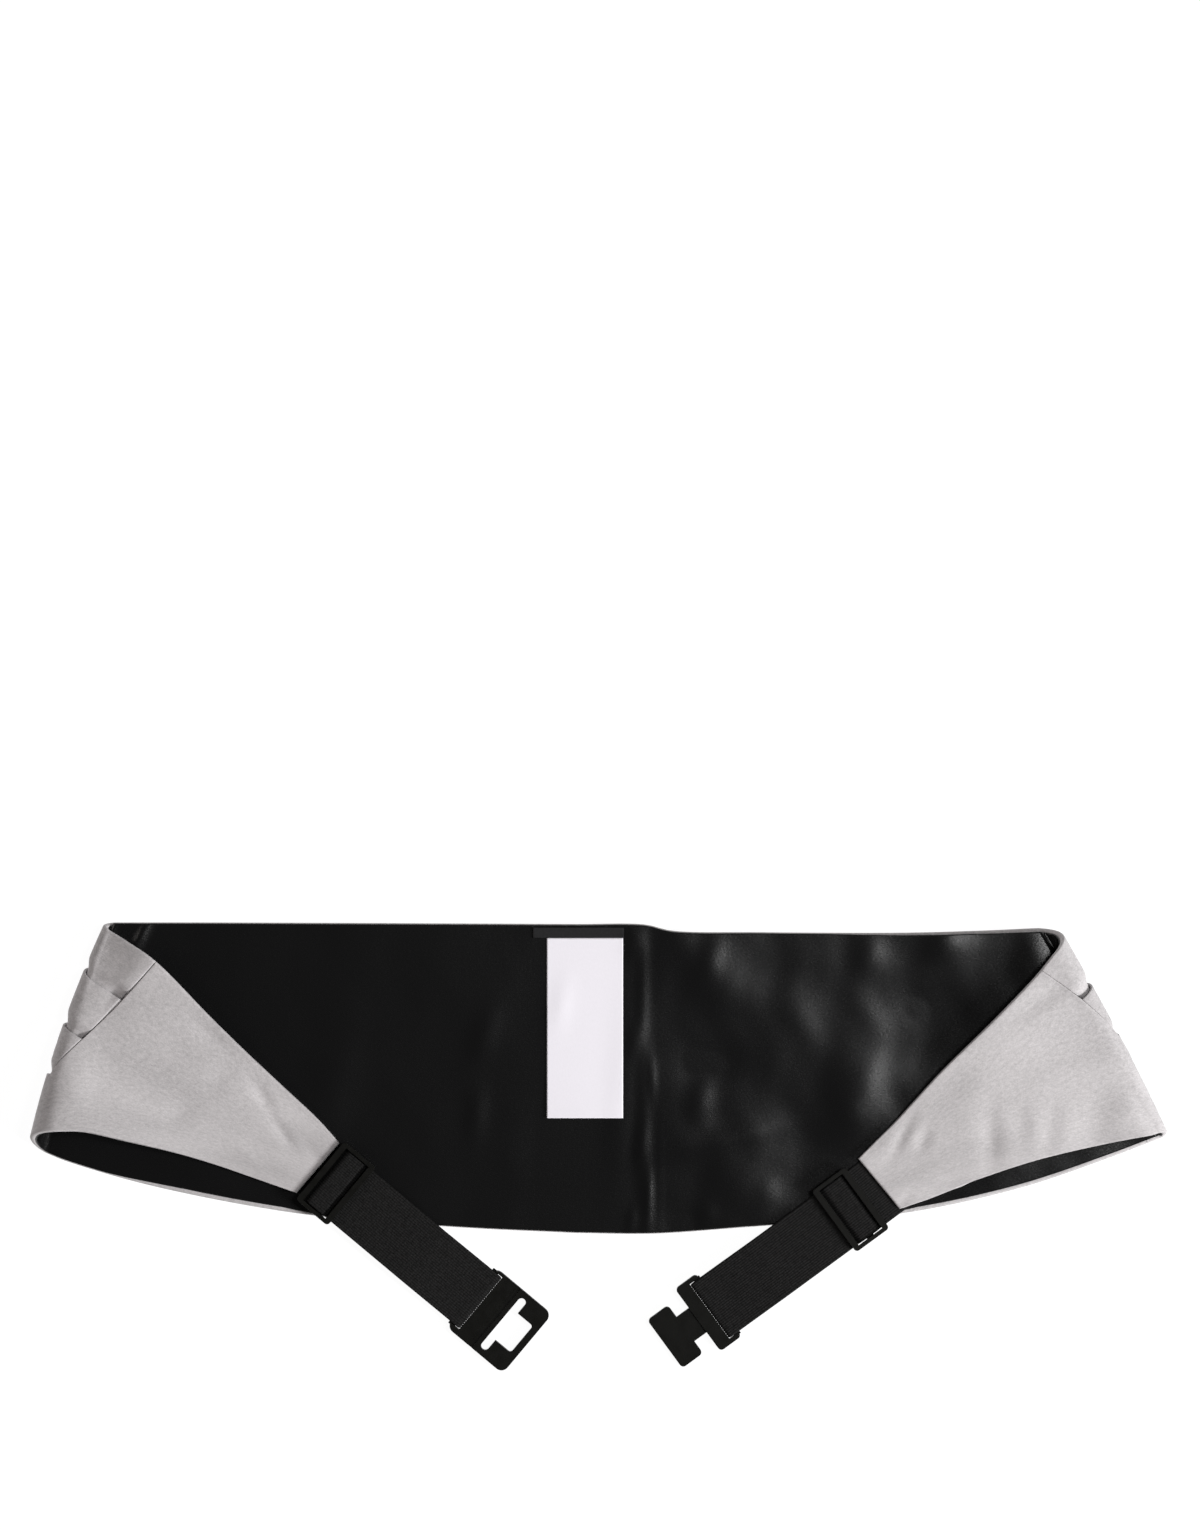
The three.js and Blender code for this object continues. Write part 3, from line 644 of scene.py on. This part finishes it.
def straight(start_y, end_y, start_depth, end_depth, step):
    """Points on a smooth step from one depth to another, without its two ends."""
    count = max(int(abs(end_y - start_y) / step), 2)
    t = np.linspace(0, 1, count + 1)[1:-1]
    depth = start_depth + (end_depth - start_depth) * t * t * (3 - 2 * t)
    return np.stack([start_y + (end_y - start_y) * t, depth], axis=-1)


WRAP_LINE = FACE_LINE + 2 * EDGE_RADIUS
EDGE_INSET = EDGE_RADIUS + SATIN / 2


def edge_wrap():
    """The top edge: from under the lining out to the edge and round to the face."""
    return np.vstack([
        [[EDGE_INSET + HEM, WRAP_LINE]],
        straight(EDGE_INSET + HEM, EDGE_INSET, WRAP_LINE, WRAP_LINE, 1.0),
        arc(EDGE_INSET, FACE_LINE + EDGE_RADIUS, EDGE_RADIUS, 90, 270, 11),
    ])


def pleat_drift(v):
    """How far towards the top edge the first pleat of the left half lies from its even place, in mm."""
    return -1.9 * np.exp(-((v - PLEAT_STARTS[1]) / 0.12) ** 2)


def pleated_line():
    """The pleated face: each pleat sinks, runs on under the next, turns back and turns at its edge."""
    turn = (UNDER_LINE - HIDDEN_LINE) / 2
    parts = [edge_wrap()]
    start = EDGE_INSET
    for share in PLEAT_STARTS[1:]:
        edge = share * BAND_WIDTH
        sink = edge - 9.0
        under = edge + PLEAT_RETURN
        parts += [
            straight(start, sink, FACE_LINE, FACE_LINE, 2.2),
            [[sink, FACE_LINE]],
            straight(sink, edge - 0.6, FACE_LINE, UNDER_LINE, 0.9),
            [[edge - 0.6, UNDER_LINE]],
            straight(edge - 0.6, under, UNDER_LINE, UNDER_LINE, 2.5),
            arc(under, UNDER_LINE - turn, turn, 90, -90),
            straight(under, edge + turn, HIDDEN_LINE, HIDDEN_LINE, 2.5),
            arc(edge + turn + SATIN / 2, HIDDEN_LINE - turn, turn, 90, 270),
        ]
        start = edge + turn + SATIN / 2
    last = edge_wrap()[::-1] * [-1, 1] + [BAND_WIDTH, 0]
    parts += [straight(start, BAND_WIDTH - EDGE_INSET, FACE_LINE, FACE_LINE, 2.2), last]
    return np.vstack(parts)


def plain_line():
    """The plain face between its two wrapped edges."""
    last = edge_wrap()[::-1] * [-1, 1] + [BAND_WIDTH, 0]
    middle = straight(EDGE_INSET, BAND_WIDTH - EDGE_INSET, FACE_LINE, FACE_LINE, 1.6)
    return np.vstack([edge_wrap(), middle, last])


def offset_line(line, distance):
    """A line in the plane moved sideways by a distance, to its left as it runs."""
    before = np.diff(line, axis=0, prepend=2 * line[:1] - line[1:2])
    after = np.diff(line, axis=0, append=2 * line[-1:] - line[-2:-1])
    before /= np.linalg.norm(before, axis=1, keepdims=True)
    after /= np.linalg.norm(after, axis=1, keepdims=True)
    direction = before + after
    direction /= np.linalg.norm(direction, axis=1, keepdims=True)
    return line + distance * np.stack([-direction[:, 1], direction[:, 0]], axis=-1)


def rolled(distance, radius):
    """How much deeper a cloth's edge lies at a distance from its end, as it rolls round a radius."""
    inside = np.clip((radius - distance) / radius, 0, 1)
    return radius * (1 - np.sqrt(1 - inside ** 2))


def satin_shell(name, stations, line, drift, deeper):
    """A satin piece over the band: a line across the width carried along rows of stations.

    stations has a row for each place along and a column for each point of the line. drift moves the points
    across the width, in mm, and deeper adds to their depth.
    """
    grids = []
    for distance in (-SATIN / 2, SATIN / 2):
        across = offset_line(line, distance)
        v = np.clip((across[:, 0] + drift) / BAND_WIDTH, 0, 1)
        grids.append(band_surface(stations, v, across[:, 1][None, :] + deeper))
    run = band_run(stations, np.clip(line[:, 0] / BAND_WIDTH, 0, 1)[None, :])
    travelled = np.concatenate([[0], np.cumsum(np.linalg.norm(np.diff(line, axis=0), axis=1))])
    uv = np.stack(np.broadcast_arrays(run, travelled[None, :]), axis=-1)
    return shell_mesh(name, grids[0], grids[1], uv)


CLOSE_ROWS = np.array([10, 8, 6, 4.5, 3.2, 2.2, 1.4, 0.9, 0.6, 0.4, 0.25, 0.12, 0])[:, None]


def seam_run(name, v):
    """The run at which the seam lies at a share of the width."""
    return blended(ENDS[name]["seam"], v)


def front_mesh():
    """The pleated panel, from one seam to the other, with rows of points close together by the seams.

    Near the seams the pleats dip deeper, and the panel's edge sinks under the side panel's.
    """
    line = pleated_line()
    even = np.clip(line[:, 0] / BAND_WIDTH, 0, 1)[None, :]
    body = np.concatenate([
        np.linspace(0, 0.25, 14, endpoint=False),
        np.linspace(0.25, 0.9, 40, endpoint=False),
    ])
    halves = []
    for name in ("left", "right"):
        v = even + (pleat_drift(even) / BAND_WIDTH if name == "left" else 0)
        near = station_at(name, seam_run(name, v) - 0.05 - CLOSE_ROWS, v)
        outer = 0.9 + (near[:1] - 0.9) * np.linspace(0, 1, 46, endpoint=False)[:, None]
        inner = np.broadcast_to(body[:, None], (len(body), v.shape[1]))
        halves.append(np.concatenate([inner, outer, near]))
    stations = np.concatenate([-halves[0][:0:-1], halves[1]])
    gap = np.minimum(seam_run("left", even) + band_run(stations, even),
                     seam_run("right", even) - band_run(stations, even)).clip(0)
    dip = np.clip((line[:, 1] - FACE_LINE) / (UNDER_LINE - FACE_LINE), 0, 1)
    dip *= (line[:, 0] > 6) & (line[:, 0] < BAND_WIDTH - 6)
    drift = pleat_drift(even) * smooth_share(-stations, 0.5, 1.3)
    groove = np.where(stations < 0, 0.6, 0.15)
    deeper = dip ** 1.5 * (0.4 + 0.45 * np.exp(-gap / 7)) + groove * rolled(gap, 0.7)
    return satin_shell("front_panel", stations, line, drift, deeper)


def side_mesh(name):
    """A plain side panel, from the seam to the narrow end, with its edge turned down at both."""
    line = plain_line()
    v = np.clip(line[:, 0] / BAND_WIDTH, 0, 1)[None, :]
    start, end = seam_run(name, v) + (0.1 if name == "left" else 0.02), run_at(name, 3.0, v)
    by_seam = station_at(name, start + CLOSE_ROWS[::-1], v)
    by_end = station_at(name, end - CLOSE_ROWS, v)
    between = by_seam[-1:] + (by_end[:1] - by_seam[-1:]) * np.linspace(0, 1, 90)[1:-1, None]
    stations = np.concatenate([by_seam, between, by_end])
    run = run_at(name, stations, v)
    rolls = 0.8 * rolled(run - start, 0.3) + rolled(end - run, 0.9)
    if name == "right":
        rolls = rolls - 0.16 * np.exp(-((run - start - 0.55) / 0.4) ** 2)
    if ENDS[name]["side"] < 0:
        stations, rolls = -stations[::-1], rolls[::-1]
    return satin_shell(f"side_panel_{name}", stations, line, 0, rolls)


def lining_rise(x, y):
    """How high the lining stands off its even place: dents, creases and waves, calm by the labels."""
    strength = (0.25 + 0.75 * smooth_share(x, 20, 45)) * smooth_share(np.abs(x - 3), 17, 30)
    return dents(x, y, LINING_DENTS + CREASES) + (ripples(x, y) + 0.35) * strength


def lining_mesh():
    """The lining: a slab that leaves the rims showing, with soft dents and the pressed crease."""
    edges = np.array([0, 0.001, 0.003, 0.006, 0.010])
    ends = [3 - LINING_STOPS_SHORT / min(stops[4] - stops[3] for _, stops in TABLES[name]) for name in ENDS]
    half = np.concatenate([np.linspace(0, 1, 150), np.linspace(1, 2, 30)[1:]])
    left = np.concatenate([half, np.linspace(2, ends[0], 40)[1:]])
    right = np.concatenate([half, np.linspace(2, ends[1], 40)[1:]])
    stations = np.concatenate([-left[:0:-1], right])[:, None]
    folded = smooth_share(np.abs(stations), 1.0, 1.5)
    rims = []
    for rim, v in ((TOP_RIM, 0.0), (BOTTOM_RIM, 1.0)):
        run, width = np.array(rim).T
        rims.append(np.interp(band_run(stations, v), run, width) * (1 - folded) + FOLDED_RIM * folded)
    top_rim, bottom_rim = (rim / BAND_WIDTH for rim in rims)
    share = np.concatenate([edges, np.linspace(0.02, 0.98, 96), 1 - edges[::-1]])[None, :]
    v = top_rim + (1 - top_rim - bottom_rim) * share
    base = band_surface(stations, v, np.full(v.shape, LINING_LINE))
    on_body = 1 - smooth_share(np.abs(stations), 0.95, 1.08)
    x, y = base[..., 0], base[..., 1]
    raised = on_body * lining_rise(x, y)
    sunk = rolled(np.minimum(v - top_rim, 1 - bottom_rim - v).clip(0) * BAND_WIDTH, 0.45)
    top = band_surface(stations, v, LINING_LINE + LINING / 2 + np.maximum(raised, -0.1) - 0.8 * sunk)
    bottom = band_surface(stations, v, LINING_LINE - LINING / 2 + np.zeros_like(raised))
    run = band_run(stations, v)
    uv = np.stack(np.broadcast_arrays(run, v * BAND_WIDTH), axis=-1)
    return shell_mesh("lining", bottom, top, uv)


front = add_piece("front_panel_satin", front_mesh(), grey_satin, "front_panel")
lining = add_piece("lining_cloth", lining_mesh(), black_satin, "lining")
for name in ENDS:
    panel = f"side_panel_{name}"
    side = add_piece(f"{panel}_satin", side_mesh(name), grey_satin, panel)


# Straps

def strap_place(end, s, t, z):
    """A place by the strap: s along it away from the band, t to its left and z up."""
    angle = math.radians(end["strap_angle"])
    heading = np.array([-end["side"] * math.cos(angle), -math.sin(angle)])
    leftward = np.array([-heading[1], heading[0]])
    start = np.array([end["side"] * end["strap_start"][0], end["strap_start"][1]])
    plan = start + np.asarray(s)[..., None] * heading + np.asarray(t)[..., None] * leftward
    return np.concatenate([plan, np.broadcast_to(z, plan.shape[:-1])[..., None]], axis=-1)


STRAP_LENGTH = 80.0
TUCK_HEIGHT = 4.0
RETURN_HEIGHT = 3.8
TAIL_HEIGHT = 4.2
MAIN_HEIGHT = 5.1
OVER_BAR_HEIGHT = 6.8
WINDOW_HALF = 5.2
WRAP_RADIUS = 1.4
WRAP_HEIGHT = 2.0
RIBS = 26


def strap_path(end):
    """The strap's middle line, s and z.

    It comes out of the flap, goes over the slider's centre bar and round the clasp's, and back beneath.
    """
    c = end["slider_at"]
    wrap = STRAP_LENGTH + 0.3 - WRAP_RADIUS - WEBBING / 2
    turn = np.linspace(0, math.pi, 13)
    corners = [
        [(-11.7, TUCK_HEIGHT), (0.4, TUCK_HEIGHT), (c - WINDOW_HALF, MAIN_HEIGHT),
         (c - WINDOW_HALF + 1.8, OVER_BAR_HEIGHT), (c + WINDOW_HALF - 1.8, OVER_BAR_HEIGHT),
         (c + WINDOW_HALF, MAIN_HEIGHT), (52, MAIN_HEIGHT), (wrap - 6, WRAP_HEIGHT + WRAP_RADIUS)],
        np.stack([wrap + WRAP_RADIUS * np.sin(turn), WRAP_HEIGHT + WRAP_RADIUS * np.cos(turn)], axis=-1),
        [(wrap - 6, WRAP_HEIGHT - WRAP_RADIUS), (52, RETURN_HEIGHT), (c + WINDOW_HALF, RETURN_HEIGHT),
         (c - 1.5, TAIL_HEIGHT)],
    ]
    return np.vstack([rounded_corners(np.array(corners[0], float), 0.8), corners[1],
                      rounded_corners(np.array(corners[2], float), 0.6)])


def rounded_corners(line, reach):
    """A line whose inner corners are cut into parabolas that start and end a reach away from them."""
    parts = [line[:1]]
    t = np.linspace(0, 1, 6)[:, None]
    for before, corner, after in zip(line[:-2], line[1:-1], line[2:]):
        back, on = before - corner, after - corner
        start = corner + back * min(reach / np.linalg.norm(back), 0.45)
        end = corner + on * min(reach / np.linalg.norm(on), 0.45)
        parts.append((1 - t) ** 2 * start + 2 * t * (1 - t) * corner + t * t * end)
    parts.append(line[-1:])
    return np.vstack(parts)


def dense(line, step):
    """A line with more points, so that no stretch is longer than a step."""
    parts = []
    for start, end in zip(line[:-1], line[1:]):
        count = max(int(np.linalg.norm(end - start) / step), 1)
        parts.append(start + (end - start) * np.linspace(0, 1, count, endpoint=False)[:, None])
    return np.vstack(parts + [line[-1:]])


def strap_mesh(name):
    """The webbing: a flat ribbed profile, round at its selvages, carried along the strap's path."""
    end = ENDS[name]
    path = dense(strap_path(end), 2.5)
    ribbed = np.linspace(-0.475, 0.475, RIBS * 6 + 1)
    t = np.concatenate([[-0.5, -0.494, -0.485], ribbed, [0.485, 0.494, 0.5]])
    to_edge = (0.5 - np.abs(t)) * WEBBING_WIDTH
    half = 0.12 + (WEBBING / 2 - 0.12) * np.sqrt(1 - (1 - np.clip(to_edge / 0.5, 0, 1)) ** 2)
    ribs = 0.08 * np.clip(to_edge / 0.8, 0, 1) * np.cos(t * RIBS / 0.95 * 2 * math.pi)
    across = -t * WEBBING_WIDTH
    grids = []
    for sign in (1, -1):
        height = sign * (half + ribs - 0.08)
        side_step = offset_line(path, 1.0) - path
        s = path[:, :1] + side_step[:, :1] * height[None, :]
        z = path[:, 1:] + side_step[:, 1:] * height[None, :]
        grids.append(strap_place(end, s, np.broadcast_to(across, s.shape), z))
    travelled = np.concatenate([[0], np.cumsum(np.linalg.norm(np.diff(path, axis=0), axis=1))])
    uv = np.stack(np.broadcast_arrays(travelled[:, None], across[None, :]), axis=-1)
    return shell_mesh(f"strap_{name}", grids[0], grids[1], uv)


for name, end in ENDS.items():
    strap = add_piece(f"strap_{name}_webbing", strap_mesh(name), elastic, f"strap_{name}")


# Moulded pieces: copies of the solids, merged, with their edges rounded

def moulded_piece(node_name, name, edge):
    """A copy of a node's solid with its flat faces joined and its edges rounded."""
    work = bmesh.new()
    work.from_mesh(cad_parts[node_name].data)
    bmesh.ops.remove_doubles(work, verts=work.verts, dist=2e-6)
    bmesh.ops.dissolve_limit(work, angle_limit=math.radians(1.5), verts=work.verts, edges=work.edges)
    sharp = [e for e in work.edges if len(e.link_faces) == 2 and e.calc_face_angle(0) > math.radians(35)]
    bmesh.ops.bevel(work, geom=sharp, offset=edge, segments=3, profile=0.5, affect="EDGES",
                    clamp_overlap=True)
    vertices = [v.co[:] for v in work.verts]
    work.verts.index_update()
    faces = [[v.index for v in f.verts] for f in work.faces]
    work.free()
    mesh = bpy.data.meshes.new(name)
    mesh.from_pydata(vertices, [], faces)
    mesh.polygons.foreach_set("use_smooth", np.ones(len(mesh.polygons), dtype=bool))
    mesh.validate()
    piece = add_piece(name, mesh, black_plastic, node_name)
    weighted = piece.modifiers.new("weighted", "WEIGHTED_NORMAL")
    weighted.keep_sharp = True
    return piece


for node_name, name, edge in (
    ("slider_left", "slider_left_plastic", 0.0004),
    ("slider_right", "slider_right_plastic", 0.0004),
    ("clasp_eye", "clasp_eye_plastic", 0.0003),
    ("clasp_hook", "clasp_hook_plastic", 0.0003),
):
    moulded_piece(node_name, name, edge)


# Labels

def label_mesh(name, left, right, top, bottom, thickness, curl):
    """A label: a thin slab laid on the lining, its free edges lifted a little by a smooth curl."""
    x = np.linspace(left, right, 60)[:, None]
    y = np.linspace(top, bottom, 120 if top - bottom > 20 else 24)[None, :]
    raised = lining_rise(x, y)
    down = (top - y) / (top - bottom)
    lift = curl * down ** 3 * (1 + 0.4 * np.sin((x - left) / (right - left) * math.pi))
    base = 3.12 + np.maximum(raised, 0) + lift
    x, y = np.broadcast_arrays(x, y)
    low = np.stack([x, y, base], axis=-1)
    high = np.stack([x, y, base + thickness], axis=-1)
    uv = np.stack([y, x], axis=-1)
    return shell_mesh(name, low, high, uv)


care = add_piece("care_label_satin", label_mesh("care_label", -11.4, 17.5, -4.86, -73.2, 0.22, 0.5),
                 white_satin, "care_label")
add_piece("woven_label_weave", label_mesh("woven_label", -16.7, 17.8, -0.9, -4.8, 0.45, 0.0),
          woven_black, "woven_label")


# Studio

def make_floor():
    """A white floor under the band that glows a little, so that shadows on it stay faint."""
    mesh = bpy.data.meshes.new("floor")
    mesh.from_pydata([(-4, -4, 0), (4, -4, 0), (4, 4, 0), (-4, 4, 0)], [], [(0, 1, 2, 3)])
    material, tree, shader = new_material("pale_floor", (0.9, 0.9, 0.9))
    shader.inputs["Base Color"].default_value = (0.12, 0.12, 0.12, 1)
    shader.inputs["Roughness"].default_value = 0.95
    shader.inputs["Specular IOR Level"].default_value = 0.0
    shader.inputs["Emission Color"].default_value = (1, 1, 1, 1)
    shader.inputs["Emission Strength"].default_value = 0.95
    mesh.materials.append(material)
    floor = bpy.data.objects.new("floor", mesh)
    floor.location.z = -0.0004
    bpy.context.scene.collection.objects.link(floor)


def softbox(name, place, size, watts, colour=(1, 1, 1), mirrored=True):
    """A square soft light at a place, turned to the part, and whether glossy surfaces mirror it."""
    data = bpy.data.lights.new(name, "AREA")
    data.shape = "SQUARE"
    data.size = size
    data.energy = watts
    data.color = colour
    light = bpy.data.objects.new(name, data)
    away = np.array(place, float)
    away /= np.linalg.norm(away)
    light.location = place
    light.visible_glossy = mirrored
    light.rotation_euler = (0, math.acos(away[2]), math.atan2(away[1], away[0]))
    bpy.context.scene.collection.objects.link(light)


make_floor()
softbox("key", (2.0, -0.73, 1.25), 0.6, 82, mirrored=False)
softbox("glint", (2.0, -0.73, 1.25), 0.6, 7)
softbox("fill_left", (-1.6, 0.3, 1.1), 1.2, 8, (1, 0.93, 0.9))
softbox("sheen", (0.58, 0.2, 1.3), 0.32, 5.0)
softbox("fill_front", (0.2, -1.6, 1.5), 1.2, 3, (1, 0.95, 0.92))
softbox("fill_back", (-0.4, 1.7, 1.5), 1.2, 2.5, (1, 0.92, 0.88))

world = bpy.data.worlds.new("studio")
world.use_nodes = True
world.node_tree.nodes["Background"].inputs["Color"].default_value = (1, 1, 1, 1)
world.node_tree.nodes["Background"].inputs["Strength"].default_value = 0.02
bpy.context.scene.world = world
bpy.context.scene.view_settings.view_transform = "Standard"
bpy.context.scene.view_settings.look = "None"
